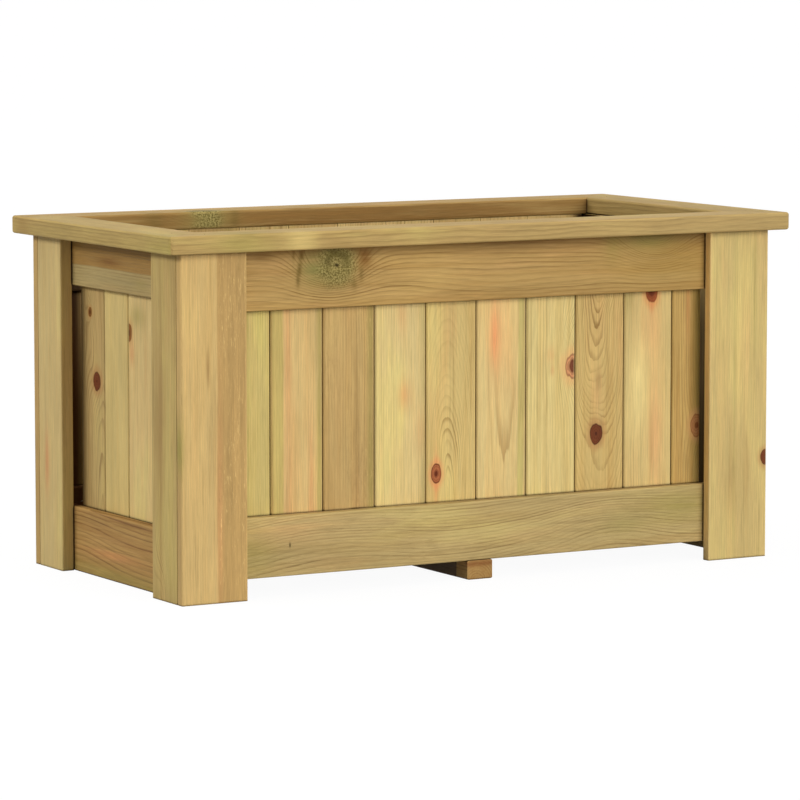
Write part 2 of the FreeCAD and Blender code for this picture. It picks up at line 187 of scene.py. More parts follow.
RUST = srgb(208, 132, 84)
BROWN = srgb(134, 96, 50)
DARK_OLIVE = srgb(96, 84, 36)
UMBER = srgb(104, 82, 34)
MOSS = srgb(150, 142, 80)
END_GRAIN = srgb(144, 108, 60)
# Grime and painted shade in joints and creases
GRIME_AND_SHADE = srgb(50, 32, 12)
# Painted shade, low inside the bed
INSIDE_SHADE = srgb(52, 34, 16)
BURL_DARK = srgb(86, 76, 32)
BURL_LIGHT = srgb(172, 156, 92)
BURL_EYE = srgb(62, 50, 20)
# Painted shade of the hollow corners behind the posts, lower down and higher up
HOLLOW_LOW = srgb(92, 52, 20)
HOLLOW_HIGH = srgb(50, 27, 9)

# Where the inside of the bed ends, and where the hollow corners behind the posts lie
RIM_UNDERSIDE = 0.3795
INNER_LENGTH = 0.3412
INNER_DEPTH = 0.1492
SIDE_BOARD_EDGE = 0.117
SIDE_BOARD_BACK = 0.3655
FACE_BOARD_BACK = 0.1735

# Heights and places between which painted shade darkens the inside low down and a hollow corner
INSIDE_SHADE_FROM = 0.372
INSIDE_SHADE_TO = 0.25
HOLLOW_FROM = 0.32
HOLLOW_TO = 0.334
HOLLOW_LOW_HEIGHT = 0.16
HOLLOW_HIGH_HEIGHT = 0.34

# Width of a rubbed arris, where it is fully rubbed, and how far the grime and painted
# shade of a joint reach into the wood beside it
ARRIS = 0.003
ARRIS_CORE = 0.001
JOINT_REACH = 0.0035


class Board(Shade):
    """A pine board whose fibres follow one frame axis, with another axis through its thickness.

    Spots lie on the board's face in frame metres: along, across, half length, half width.
    A swirl is a spot and the rings that it bulges by, a bold spot one and the contrast that it
    adds, a knot one and its kind, a stain one, its colour and its strength; a few of these marks
    are painted shade or painted light, each noted where it stands. A band runs the whole
    length between two places across: start, end, colour, strength.
    """

    def __init__(self, node, grain, face, seed, visible=None):
        super().__init__(f"wood_{node}")
        low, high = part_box(node)
        self.grain = grain
        self.face = face
        self.across = 3 - grain - face
        self.middle = (low + high) / 2
        self.half = (high - low) / 2
        self.visible = visible or (low[self.across], high[self.across])
        self.axes = self.object_axes()
        self.u = self.axes[grain]
        self.v = self.axes[self.across]
        self.w = self.axes[face]
        self.seed = seed * 1.37 + 0.5
        self.long_wave = self.minus(self.stretched(0.22, 26.0), 0.5)
        self.short_wave = self.minus(self.stretched(0.4, 90.0), 0.5)
        self.fibre = self.stretched(0.03, 1300.0, 3.0, 0.65)
        self.soft_fibre = self.stretched(0.03, 420.0, 3.0, 0.6)

    def stretched(self, share, scale, detail=2.0, roughness=0.5):
        """Noise drawn out along the grain to 1 / share of its width."""
        place = self.vector(self.times_add(self.u, share, self.seed), self.add(self.v, self.seed), self.w)
        return self.noise(place, scale, detail, roughness)

    def from_spot(self, spot):
        """Distance from the spot's middle along and across, in its half sizes."""
        du = self.math("DIVIDE", self.minus(self.u, spot[0]), spot[2])
        dv = self.math("DIVIDE", self.minus(self.v, spot[1]), spot[3])
        return du, dv

    def hump(self, spot):
        du, dv = self.from_spot(spot)
        square = self.add(self.times(du, du), self.times(dv, dv))
        return self.math("EXPONENT", self.times(square, -1.0))

    def late_wood(self, spacing, pith, tilt, warp, swirls, knots):
        """1 on the dark line of each growth ring; the rings lie round a tilted pith line."""
        along = self.minus(self.u, self.middle[self.grain])
        dv = self.times_add(along, tilt[0], self.minus(self.v, self.middle[self.across] - pith[0]))
        dw = self.times_add(along, tilt[1], self.minus(self.w, self.middle[self.face] - pith[1]))
        dv = self.times_add(self.long_wave, warp * 2.2, dv)
        dw = self.times_add(self.short_wave, warp * 0.45, dw)
        rings = self.times(self.length(dv, dw), 1.0 / spacing)
        for *spot, count in swirls:
            rings = self.times_add(self.hump(spot), count, rings)
        for *spot, kind in knots:
            wide = (spot[0], spot[1], spot[2] * 2.6, spot[3] * 1.8)
            rings = self.times_add(self.hump(wide), 2.6, rings)
        rings = self.times_add(self.soft_fibre, 0.3, rings)
        part = self.math("FRACT", rings)
        late = self.times(self.step(part, 0.42, 0.93), self.step(part, 1.0, 0.96))
        patchy = self.times_add(self.step(self.stretched(0.2, 40.0, 3.0, 0.6), 0.36, 0.62), 0.6, 0.45)
        late = self.times(late, patchy)
        each = self.node("ShaderNodeTexWhiteNoise", noise_dimensions="1D")
        self.put(each.inputs["W"], self.math("FLOOR", rings))
        return self.times(late, self.times_add(each.outputs["Value"], 1.0, 0.25))

    def knot(self, colour, spot, heart, body, halo, core, rim):
        du, dv = self.from_spot(spot)
        far = self.times_add(self.short_wave, 0.6, self.length(du, dv))
        far = self.times_add(self.soft_fibre, 0.16, self.minus(far, 0.08))
        colour = self.mix(self.times(self.step(far, 2.0, 0.95), 0.6), colour, halo)
        turns = self.math("FRACT", self.times_add(self.soft_fibre, 0.8, self.times(far, 3.6)))
        inside = self.mix(self.times(self.step(turns, 0.3, 0.9), 0.35), body, heart)
        inside = self.mix(self.times(self.step(far, core + 0.14, core - 0.1), 0.9), inside, heart)
        inside = self.mix(self.times(self.step(far, 0.76, 0.92), rim), inside, heart)
        return self.mix(self.step(far, 1.06, 0.9), colour, inside)

    def burl(self, colour, spot):
        """A knot soaked with green: mottled, with a dark eye and dark arcs round it."""
        du, dv = self.from_spot(spot)
        far = self.times_add(self.short_wave, 0.7, self.length(du, dv))
        grit = self.noise(self.vector(self.u, self.v, self.w), 480.0, 4.0, 0.7)
        mottled = self.mix(self.step(grit, 0.38, 0.62), BURL_DARK, BURL_LIGHT)
        colour = self.mix(self.times(self.step(far, 1.45, 0.75), 0.85), colour, mottled)
        arc = self.times(self.step(far, 0.25, 0.5), self.step(far, 0.85, 0.6))
        upper = self.step(dv, -0.6, 0.4)
        colour = self.mix(self.times(self.times(arc, upper), 0.7), colour, DARK_OLIVE)
        return self.mix(self.step(far, 0.16, 0.04), colour, BURL_EYE)

    def wood(self, pale, line, contrast=0.5, spacing=0.003, pith=(0.12, -0.05), tilt=(0.0, 0.0),
             warp=0.0025, swirls=(), bold=(), knots=(), burls=(), bands=(), stains_and_shade=(),
             green=0.3, peach=0.2, streaks=0.5, flecks=0.0, fleck_from=None):
        late = self.late_wood(spacing, pith, tilt, warp, swirls, knots)
        for *spot, extra in bold:
            contrast = self.times_add(self.hump(spot), extra, contrast)
        streak = self.stretched(0.05, 90.0, 4.0, 0.65)
        thin_streak = self.stretched(0.02, 240.0, 5.0, 0.75)
        cloud = self.stretched(0.25, 18.0, 3.0, 0.6)
        warm_cloud = self.stretched(0.15, 31.0, 3.0, 0.6)
        colour = self.mix(self.times(self.step(streak, 0.38, 0.68), streaks), pale, line)
        colour = self.mix(self.times(self.step(cloud, 0.48, 0.72), green), colour, GREEN)
        colour = self.mix(self.times(self.step(warm_cloud, 0.5, 0.74), peach), colour, PEACH)
        for start, end, band, strength in bands:
            place = self.times_add(self.long_wave, 0.006, self.v)
            inside = self.times(self.step(place, start - 0.0012, start + 0.0012),
                                self.step(place, end + 0.0012, end - 0.0012))
            colour = self.mix(self.times(inside, strength), colour, band)
        dark_line = self.tone(line, 0.74)
        colour = self.mix(self.times(self.step(thin_streak, 0.5, 0.66), 0.3), colour, dark_line)
        colour = self.mix(self.times(late, contrast), colour, dark_line)
        # Stain marks; a few are painted shade or painted light, noted where they are listed
        for *spot, stain, strength in stains_and_shade:
            patch = self.times(self.hump(spot), self.step(streak, 0.15, 0.55))
            colour = self.mix(self.times(patch, strength), colour, stain)
        if flecks:
            fleck = self.stretched(0.14, 560.0, 3.0, 0.75)
            strength = self.times(self.step(self.long_wave, -0.16, 0.1), flecks)
            if fleck_from is not None:
                strength = self.times(self.step(self.v, fleck_from, fleck_from + 0.002), strength)
            light = self.times(self.step(fleck, 0.56, 0.68), strength)
            dark = self.times(self.step(fleck, 0.44, 0.34), strength)
            colour = self.mix(light, colour, self.tone(pale, 1.3))
            colour = self.mix(dark, colour, self.tone(line, 0.75))
        for spot in burls:
            colour = self.burl(colour, spot)
        for *spot, kind in knots:
            colour = self.knot(colour, spot, **KNOTS[kind])
        value = self.times(self.times_add(self.fibre, 0.66, 0.67), self.times_add(streak, 0.6, 0.7))
        value = self.times(value, self.times_add(cloud, 0.6, 0.7))
        colour = self.tone(colour, value)
        colour = self.wear_and_shade(colour, pale)
        rough = self.times_add(late, -0.08, self.times_add(self.soft_fibre, 0.25, 0.5))
        return self.finish(colour, rough, self.times_add(self.fibre, 0.8, late), specular=0.1)

    def wear_and_shade(self, colour, pale):
        """Lighter rubbed arrises and darker sawn ends; painted shade low inside the bed and in the
            hollow corners, and grime with painted shade in joints and creases.
        """
        low, high = self.visible
        to_edge = self.math("MINIMUM", self.minus(self.v, low), self.minus(high, self.v))
        depth = self.math("ABSOLUTE", self.minus(self.w, self.middle[self.face]))
        to_face = self.minus(self.half[self.face], depth)
        arris = self.times(self.step(to_edge, ARRIS, ARRIS_CORE), self.step(to_face, ARRIS, ARRIS_CORE))
        arris = self.times(arris, self.step(self.soft_fibre, 0.35, 0.6))
        colour = self.mix(self.times(arris, 0.4), colour, self.tone(pale, 1.2))
        normal = self.object_axes("Normal")
        sawn = self.step(self.math("ABSOLUTE", normal[self.grain]), 0.6, 0.9)
        colour = self.mix(self.times(sawn, 0.45), colour, END_GRAIN)
        x = self.math("ABSOLUTE", self.axes[X])
        y = self.math("ABSOLUTE", self.axes[Y])
        within = self.times(self.math("LESS_THAN", x, INNER_LENGTH), self.math("LESS_THAN", y, INNER_DEPTH))
        # Painted shade: inside the bed the wood darkens downwards from just under the rim.
        inside_shade = self.times(within, self.step(self.axes[Z], INSIDE_SHADE_FROM, INSIDE_SHADE_TO))
        colour = self.mix(self.times(inside_shade, 0.85), colour, INSIDE_SHADE)
        # Painted shade: the hollow corners behind the posts are darkened, most near the top.
        past_board = self.step(y, SIDE_BOARD_EDGE - 0.003, SIDE_BOARD_EDGE)
        corner = self.times(self.step(x, HOLLOW_FROM, HOLLOW_TO), past_board)
        corner = self.times(corner, self.math("LESS_THAN", x, SIDE_BOARD_BACK))
        corner = self.times(corner, self.math("LESS_THAN", y, FACE_BOARD_BACK))
        corner = self.times(corner, self.math("LESS_THAN", self.axes[Z], RIM_UNDERSIDE))
        height = self.step(self.axes[Z], HOLLOW_LOW_HEIGHT, HOLLOW_HIGH_HEIGHT)
        shade = self.mix(height, HOLLOW_LOW, HOLLOW_HIGH)
        colour = self.mix(self.times(corner, 0.96), colour, shade)
        # Grime and painted shade: joints, creases and inner corners darken where other wood is close by.
        open_to = self.node("ShaderNodeAmbientOcclusion", samples=8)
        open_to.inputs["Distance"].default_value = JOINT_REACH
        tight = self.step(open_to.outputs["AO"], 0.9, 0.42)
        return self.mix(self.times(tight, 0.92), colour, GRIME_AND_SHADE)


def dress(node, material):
    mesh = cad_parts[node].data
    mesh.materials.clear()
    mesh.materials.append(material)


TONGUE_LENGTH = 0.005
TONGUE_SIGN = {"front": 1, "right": 1, "back": -1, "left": -1}


def plank_face(name):
    """The part of a plank that shows across the wall, without its tongue."""
    side = name.split("_")[1]
    across = X if side in ("front", "back") else Y
    low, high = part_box(name)
    last = sorted(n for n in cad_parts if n.startswith(f"plank_{side}_"))[-1]
    if name == last:
        return low[across], high[across]
    if TONGUE_SIGN[side] > 0:
        return low[across], high[across] - TONGUE_LENGTH
    return low[across] + TONGUE_LENGTH, high[across]


# Front planks, left to right: pale, line and what sets each apart

FRONT_PLANKS = [
    dict(pale=srgb(208, 186, 116), line=srgb(188, 163, 91), contrast=0.35, pith=(0.2, -0.03), green=0.45,
         stains_and_shade=[(0.22, -0.291, 0.3, 0.004, OLIVE, 0.35), (0.335, -0.272, 0.01, 0.02, OLIVE, 0.5)]),
    dict(pale=srgb(221, 190, 126), line=srgb(203, 164, 103), contrast=0.4, pith=(-0.16, -0.03), streaks=0.6,
         green=0.15, peach=0.6, bands=[(-0.262, -0.2435, srgb(190, 172, 98), 0.75)],
         stains_and_shade=[(0.2, -0.198, 0.6, 0.004, OLIVE, 0.6), (0.2, -0.2565, 0.6, 0.0016, BROWN, 0.4),
                 (0.2, -0.2375, 0.4, 0.005, RUST, 0.35), (0.13, -0.209, 0.06, 0.004, RUST, 0.5)]),
    dict(pale=srgb(201, 168, 107), line=srgb(176, 140, 83), contrast=0.45, pith=(0.12, -0.06), streaks=0.5,
         green=0.05, flecks=0.4,
         stains_and_shade=[(0.2, -0.133, 0.5, 0.005, OLIVE, 0.6), (0.16, -0.152, 0.1, 0.003, BROWN, 0.3),
                 # Painted shade: a short dark sliver at the plank's foot, over the bottom rail.
                 (0.0885, -0.152, 0.0012, 0.008, GRIME_AND_SHADE, 1.0)]),
    dict(pale=srgb(223, 198, 136), line=srgb(204, 174, 108), contrast=0.4, pith=(0.18, -0.04), green=0.35,
         stains_and_shade=[(0.2111, -0.0899, 0.016, 0.008, RUST, 0.5), (0.2, -0.0665, 0.6, 0.004, OLIVE, 0.35),
                 (0.3, -0.093, 0.02, 0.006, PEACH, 0.6), (0.17, -0.07, 0.03, 0.008, PEACH, 0.5)]),
    dict(pale=srgb(219, 191, 123), line=srgb(178, 142, 80), contrast=0.14, pith=(0.0077, 0.024), green=0.2,
         tilt=(0.0, 0.18), spacing=0.0022, bold=[(0.155, -0.036, 0.034, 0.022, 0.75)],
         knots=[(0.1204, -0.0498, 0.0115, 0.0068, "red")],
         stains_and_shade=[(0.118, -0.0498, 0.026, 0.003, RUST, 0.8), (0.28, -0.03, 0.03, 0.006, RUST, 0.3)]),
    dict(pale=srgb(224, 198, 134), line=srgb(200, 160, 98), contrast=0.35, pith=(-0.0023, 0.0205),
         tilt=(0.0, -0.07), spacing=0.0068, green=0.15, peach=0.35, bold=[(0.15, 0.0367, 0.05, 0.012, 0.3)],
         bands=[(0.0565, 0.0645, srgb(184, 172, 100), 0.7)],
         stains_and_shade=[(0.2705, 0.0265, 0.032, 0.0065, srgb(228, 122, 76), 0.85),
                 (0.27, 0.034, 0.06, 0.018, PEACH, 0.6), (0.2, 0.0665, 0.6, 0.0015, BROWN, 0.5)]),
    dict(pale=srgb(229, 206, 138), line=srgb(188, 156, 90), contrast=0.5, pith=(0.14, -0.05), green=0.3,
         spacing=0.0038, swirls=[(0.25, 0.1345, 0.036, 0.016, 7.0)], bold=[(0.24, 0.125, 0.05, 0.014, 0.5)],
         knots=[(0.2325, 0.1305, 0.0155, 0.0115, "eye")],
         stains_and_shade=[(0.246, 0.1, 0.01, 0.005, RUST, 0.4), (0.228, 0.102, 0.006, 0.003, RUST, 0.4)]),
    dict(pale=srgb(213, 183, 116), line=srgb(156, 118, 62), contrast=0.5, pith=(0.0024, 0.0313),
         tilt=(0.0, -0.17), spacing=0.0021, green=0.05, peach=0.3, warp=0.006,
         swirls=[(0.29, 0.176, 0.03, 0.014, 2.6), (0.225, 0.146, 0.04, 0.012, -2.2)],
         bold=[(0.31, 0.166, 0.06, 0.03, 0.5), (0.12, 0.164, 0.03, 0.03, -0.2),
               (0.205, 0.162, 0.04, 0.012, -0.45)],
         knots=[(0.1536, 0.1611, 0.0125, 0.0085, "dark")],
         stains_and_shade=[(0.2, 0.1645, 0.03, 0.006, PEACH, 0.5), (0.215, 0.164, 0.012, 0.003, BROWN, 0.5),
                 (0.29, 0.16, 0.03, 0.012, BROWN, 0.3)]),
    dict(pale=srgb(218, 192, 127), line=srgb(198, 162, 100), contrast=0.4, pith=(0.12, -0.05), green=0.3,
         knots=[(0.3135, 0.2356, 0.0145, 0.0078, "rusty")],
         stains_and_shade=[(0.3, 0.2356, 0.014, 0.003, RUST, 0.9), (0.14, 0.2365, 0.04, 0.003, BROWN, 0.6),
                 (0.15, 0.2415, 0.06, 0.009, PEACH, 0.8), (0.31, 0.205, 0.02, 0.008, OLIVE, 0.4),
                 (0.27, 0.235, 0.04, 0.014, PEACH, 0.6),
                 (0.2, 0.218, 0.06, 0.012, srgb(234, 212, 142), 0.7)]),
    dict(pale=srgb(206, 172, 103), line=srgb(168, 126, 65), contrast=0.6, pith=(-0.1, -0.03), green=0.1,
         streaks=0.7, knots=[(0.155, 0.2985, 0.0125, 0.009, "faint")],
         # The olive stain along the right edge is painted shade of the post beside it.
         stains_and_shade=[(0.3, 0.285, 0.05, 0.004, RUST, 0.35), (0.25, 0.3035, 0.3, 0.01, OLIVE, 0.6)]),
]
for i, look in enumerate(FRONT_PLANKS):
    name = f"plank_front_{i + 1:02d}"
    dress(name, Board(name, Z, Y, i + 1, plank_face(name)).wood(**look))

# Left end planks, back to front
LEFT_PLANKS = [
    dict(pale=srgb(200, 172, 112), line=srgb(160, 127, 76), contrast=0.6, pith=(0.02, 0.03),
         tilt=(0.0, 0.06), green=0.3, peach=0.1, swirls=[(0.26, 0.085, 0.04, 0.02, 4.0)],
         knots=[(0.2955, 0.0927, 0.0056, 0.0048, "brown"), (0.2189, 0.0761, 0.0118, 0.0094, "dark")],
         # Both stains along the back edge are painted shade: of the back post's side board, and near black
         # in the gap.
         stains_and_shade=[(0.2, 0.117, 0.6, 0.02, BROWN, 0.4), (0.2, 0.124, 0.6, 0.012, srgb(46, 26, 10), 1.0)]),
    dict(pale=srgb(222, 196, 128), line=srgb(198, 168, 100), contrast=0.3, pith=(0.16, 0.03), green=0.3),
    dict(pale=srgb(228, 200, 136), line=srgb(194, 160, 100), contrast=0.4, pith=(-0.16, 0.05), green=0.35,
         knots=[(0.28, -0.0065, 0.0108, 0.0062, "brown")],
         stains_and_shade=[(0.3, -0.026, 0.012, 0.018, OLIVE, 0.55), (0.258, -0.012, 0.014, 0.006, RUST, 0.5)]),
    dict(pale=srgb(220, 192, 128), line=srgb(190, 156, 96), contrast=0.4, pith=(0.1, 0.05)),
    dict(pale=srgb(212, 184, 124), line=srgb(180, 146, 90), contrast=0.4, pith=(-0.1, 0.05)),
]
for i, look in enumerate(LEFT_PLANKS):
    name = f"plank_left_{i + 1:02d}"
    dress(name, Board(name, Z, X, 20 + i, plank_face(name)).wood(**look))

# Boards that show one by one: grain axis, thickness axis, look
BOARDS = {
    "plank_right_01": (Z, X, dict(
        pale=srgb(214, 184, 122), line=srgb(184, 150, 92), contrast=0.5, pith=(0.14, -0.05), green=0.3,
        # Painted shade: a dark olive strip along the plank's front edge, seen through the slot by the post.
        stains_and_shade=[(0.2, -0.112, 0.6, 0.012, DARK_OLIVE, 0.6)])),
    "rail_front_top": (X, Y, dict(
        pale=srgb(192, 157, 95), line=srgb(144, 108, 54), contrast=0.6, spacing=0.0042, pith=(0.1, -0.06),
        tilt=(0.03, 0.0), green=0.05, peach=0.25, warp=0.004,
        swirls=[(-0.189, 0.362, 0.043, 0.03, 11.0), (0.232, 0.382, 0.04, 0.034, 11.0),
                (0.03, 0.33, 0.1, 0.02, 2.0)],
        bold=[(-0.19, 0.345, 0.07, 0.035, 0.45), (0.225, 0.36, 0.06, 0.035, 0.5)],
        burls=[(-0.1825, 0.359, 0.0225, 0.022)],
        stains_and_shade=[(-0.21, 0.359, 0.018, 0.018, MOSS, 0.95), (-0.192, 0.362, 0.036, 0.024, DARK_OLIVE, 0.42),
                (-0.2265, 0.372, 0.003, 0.009, UMBER, 0.9), (-0.229, 0.359, 0.0025, 0.009, UMBER, 0.85),
                (-0.231, 0.346, 0.0025, 0.009, UMBER, 0.8), (-0.2365, 0.374, 0.002, 0.009, UMBER, 0.6),
                (-0.1475, 0.367, 0.009, 0.011, srgb(120, 78, 30), 0.9),
                (-0.152, 0.349, 0.003, 0.008, UMBER, 0.6), (-0.161, 0.337, 0.004, 0.007, UMBER, 0.5),
                # The second stain here, a brown band the whole length along the top, is painted shadow of
                # the rim.
                (-0.275, 0.372, 0.014, 0.006, BROWN, 0.6), (0.0, 0.384, 2.0, 0.012, BROWN, 0.55),
                (0.226, 0.375, 0.036, 0.013, MOSS, 0.95),
                # The brown patch at the right end of the top is painted shade under the rim.
                (0.226, 0.384, 0.036, 0.008, DARK_OLIVE, 0.8), (0.3, 0.378, 0.04, 0.016, BROWN, 0.5),
                (0.175, 0.372, 0.01, 0.02, OLIVE, 0.5), (0.06, 0.374, 0.09, 0.01, BROWN, 0.45),
                (0.26, 0.352, 0.09, 0.034, srgb(148, 117, 57), 0.6),
                (0.25, 0.33, 0.06, 0.006, srgb(184, 158, 94), 0.2)])),
    "rail_front_bottom": (X, Y, dict(
        pale=srgb(192, 167, 111), line=srgb(148, 121, 71), contrast=0.68, spacing=0.0034,
        pith=(-0.14, -0.05), tilt=(-0.04, 0.0), green=0.2, warp=0.0045, flecks=0.2,
        swirls=[(0.17, 0.045, 0.09, 0.05, 6.0), (-0.2, 0.06, 0.12, 0.04, 5.0)],
        stains_and_shade=[(0.27, 0.065, 0.05, 0.02, OLIVE, 0.6), (-0.29, 0.05, 0.03, 0.03, OLIVE, 0.5),
                (0.19, 0.05, 0.03, 0.014, MOSS, 0.4), (-0.24, 0.074, 0.06, 0.016, PEACH, 0.35),
                (-0.2418, 0.0557, 0.001, 0.0026, GRIME_AND_SHADE, 1.0)])),
    "rail_left_top": (Y, X, dict(
        pale=srgb(181, 159, 106), line=srgb(152, 127, 78), contrast=0.5, pith=(-0.14, 0.03), green=0.25,
        # The brown band along the top, under the rim, is partly the rail's own colour, partly painted
        # shadow of the rim.
        spacing=0.0034, bands=[(0.3495, 0.39, srgb(160, 121, 62), 0.88)],
        stains_and_shade=[(0.018, 0.358, 0.03, 0.005, srgb(118, 76, 32), 0.8),
                (-0.06, 0.338, 0.02, 0.006, OLIVE, 0.4)])),
    "rail_left_bottom": (Y, X, dict(
        pale=srgb(187, 149, 88), line=srgb(130, 88, 47), contrast=0.7, spacing=0.0052, pith=(-0.1, 0.05),
        green=0.1, peach=0.3, swirls=[(0.1, 0.03, 0.09, 0.04, 3.0)],
        stains_and_shade=[(0.0, 0.004, 0.3, 0.01, OLIVE, 0.6), (0.02, 0.03, 0.06, 0.006, RUST, 0.4)])),
    "post_front_left_face": (Z, Y, dict(
        pale=srgb(211, 179, 117), line=srgb(194, 157, 95), contrast=0.12, pith=(-0.2, -0.05), green=0.15,
        peach=0.1, streaks=0.4,
        bands=[(-0.3365, -0.29, srgb(187, 151, 93), 0.9)], flecks=0.5, fleck_from=-0.3365,
        stains_and_shade=[(0.2, -0.38, 2.0, 0.0016, BROWN, 0.22), (0.17, -0.38, 0.03, 0.003, OLIVE, 0.8),
                (0.255, -0.348, 0.02, 0.002, BROWN, 0.5),
                (0.1, -0.334, 0.12, 0.004, srgb(206, 150, 98), 0.5)])),
    "post_front_left_side": (Z, X, dict(
        pale=srgb(194, 166, 106), line=srgb(152, 124, 72), contrast=0.4, pith=(0.1, 0.04), green=0.25,
        spacing=0.0034, swirls=[(0.0, -0.14, 0.05, 0.02, 8.0)], bold=[(0.01, -0.14, 0.03, 0.03, 0.35)],
        stains_and_shade=[(0.2, -0.135, 0.5, 0.004, BROWN, 0.35)])),
    "post_front_right_face": (Z, Y, dict(
        pale=srgb(207, 181, 118), line=srgb(187, 157, 96), contrast=0.14, pith=(0.16, -0.04), green=0.25,
        streaks=0.3, knots=[(0.1158, 0.3785, 0.0095, 0.0075, "dark")],
        # Painted light: the pale line along the left edge brightens the board's narrow left edge face and
        # its arris.
        stains_and_shade=[(0.2, 0.2998, 2.0, 0.0016, srgb(250, 214, 146), 0.9),
                (0.09, 0.33, 0.05, 0.014, BROWN, 0.25), (0.1, 0.352, 0.05, 0.005, BROWN, 0.25),
                (0.24, 0.35, 0.07, 0.01, PEACH, 0.3), (0.19, 0.3345, 0.2, 0.002, OLIVE, 0.25),
                (0.3, 0.362, 0.08, 0.003, OLIVE, 0.3)])),
    "post_back_left_side": (Z, X, dict(
        pale=srgb(214, 188, 127), line=srgb(184, 154, 96), contrast=0.4, pith=(-0.16, 0.03), green=0.3,
        # The brown stain along the edge at 0.113 is painted shade on the board's narrow front edge face.
        stains_and_shade=[(0.1229, 0.152, 0.035, 0.006, RUST, 0.6), (0.2, 0.113, 0.6, 0.002, BROWN, 0.3)])),
    "rim_front": (X, Z, dict(
        pale=srgb(188, 158, 99), line=srgb(151, 121, 69), contrast=0.6, pith=(-0.07, 0.07), green=0.3,
        warp=0.006, spacing=0.0034,
        stains_and_shade=[(-0.31, -0.19, 0.04, 0.03, OLIVE, 0.5), (-0.24, -0.2, 0.02, 0.02, srgb(216, 190, 120), 0.6),
                (0.32, -0.19, 0.24, 0.04, srgb(202, 178, 124), 0.22)])),
    "rim_left": (Y, Z, dict(
        pale=srgb(186, 159, 97), line=srgb(149, 123, 67), contrast=0.45, pith=(0.07, 0.07), green=0.3,
        spacing=0.0034,
        stains_and_shade=[(-0.19, -0.39, 0.05, 0.02, OLIVE, 0.4), (0.17, -0.4, 0.02, 0.02, BROWN, 0.4)])),
    "rim_back": (X, Z, dict(
        pale=srgb(186, 155, 95), line=srgb(146, 112, 59), contrast=0.6, pith=(0.07, 0.07), green=0.1,
        swirls=[(-0.176, 0.15, 0.05, 0.03, 5.0)], burls=[(-0.176, 0.155, 0.02, 0.0125)],
        # The brown stain along the inner edge is painted shade on the rim's inner face.
        stains_and_shade=[(0.0, 0.146, 0.6, 0.003, srgb(128, 92, 44), 0.85),
                (-0.176, 0.148, 0.03, 0.018, MOSS, 0.6), (-0.14, 0.146, 0.006, 0.012, DARK_OLIVE, 0.3),
                (-0.245, 0.146, 0.014, 0.012, DARK_OLIVE, 0.35)])),
    "rim_right": (Y, Z, dict(
        pale=srgb(185, 157, 97), line=srgb(146, 121, 67), contrast=0.5, pith=(-0.07, 0.07), green=0.35,
        spacing=0.0034)),
    "centre_batten": (Y, X, dict(
        pale=srgb(190, 152, 91), line=srgb(144, 96, 50), contrast=0.6, spacing=0.003, pith=(0.012, 0.004),
        green=0.05, stains_and_shade=[(-0.173, 0.0175, 0.004, 0.003, srgb(118, 56, 24), 0.8)])),
}
for i, (name, (grain, face, look)) in enumerate(BOARDS.items()):
    dress(name, Board(name, grain, face, 40 + i).wood(**look))

# The other boards: the same timber, with grain, knots and stains drawn for each
PALES = [(212, 182, 120), (216, 184, 122), (198, 164, 104), (206, 178, 114), (212, 180, 120),
         (194, 160, 102)]
LINES = [(178, 148, 88), (190, 152, 94), (152, 118, 66), (168, 138, 80)]
draw = random.Random(7)


def drawn_look(node, grain, face):
    low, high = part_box(node)
    across = 3 - grain - face
    side = draw.choice((-1, 1))
    look = dict(pale=srgb(*draw.choice(PALES)), line=srgb(*draw.choice(LINES)),
                contrast=draw.uniform(0.4, 0.7),
                pith=(side * draw.uniform(0.04, 0.18), draw.uniform(-0.1, -0.03)),
                green=draw.uniform(0.05, 0.35), spacing=draw.uniform(0.0026, 0.004), knots=[], swirls=[])
    wide = high[across] - low[across]
    for _ in range(draw.choice((0, 0, 1, 1, 2))):
        u = draw.uniform(low[grain], high[grain])
        v = draw.uniform(low[across] + 0.2 * wide, high[across] - 0.2 * wide)
        size = draw.uniform(0.004, 0.0095)
        look["knots"].append((u, v, size * 1.3, size, draw.choice(("red", "dark", "brown"))))
        look["swirls"].append((u, v + 0.1 * wide, size * 5, size * 1.8, draw.uniform(2.0, 5.0)))
    if draw.random() < 0.5:
        u = draw.uniform(low[grain], high[grain])
        v = draw.uniform(low[across], high[across])
        look["stains_and_shade"] = [(u, v, 0.09, 0.01, draw.choice((OLIVE, RUST)), 0.4)]
    return look


for i, name in enumerate(sorted(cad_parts)):
    if name in BOARDS or name.startswith(("plank_front", "plank_left")) or name in ("staples", "brads"):
        continue
    size = [h - l for l, h in zip(*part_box(name))]
    grain = max(range(3), key=lambda axis: size[axis])
    face = min(range(3), key=lambda axis: size[axis])
    visible = plank_face(name) if name.startswith("plank_") else None
    dress(name, Board(name, grain, face, 60 + i, visible).wood(**drawn_look(name, grain, face)))


# Fasteners of zinc-plated wire

def zinc():
    shade = Shade("zinc_wire")
    place = shade.node("ShaderNodeTexCoord").outputs["Object"]
    spots = shade.noise(place, 900.0, 3.0, 0.6)
    colour = shade.mix(shade.step(spots, 0.4, 0.7), srgb(196, 192, 180), srgb(150, 144, 128))
    colour = shade.mix(shade.times(shade.step(spots, 0.62, 0.75), 0.5), colour, srgb(150, 110, 70))
    rough = shade.times_add(spots, 0.3, 0.25)
    return shade.finish(colour, rough, spots, metallic=0.9, specular=0.5, bump=0.0001)


ZINC = zinc()
dress("staples", ZINC)
dress("brads", ZINC)

# Staple crowns that hold the planks to the rails, on the planks' inner faces
CROWN = 0.010
WIRE_WIDTH = 0.0012
WIRE_PROUD = 0.0004
BOTTOM_CROWN_DROP = 0.012


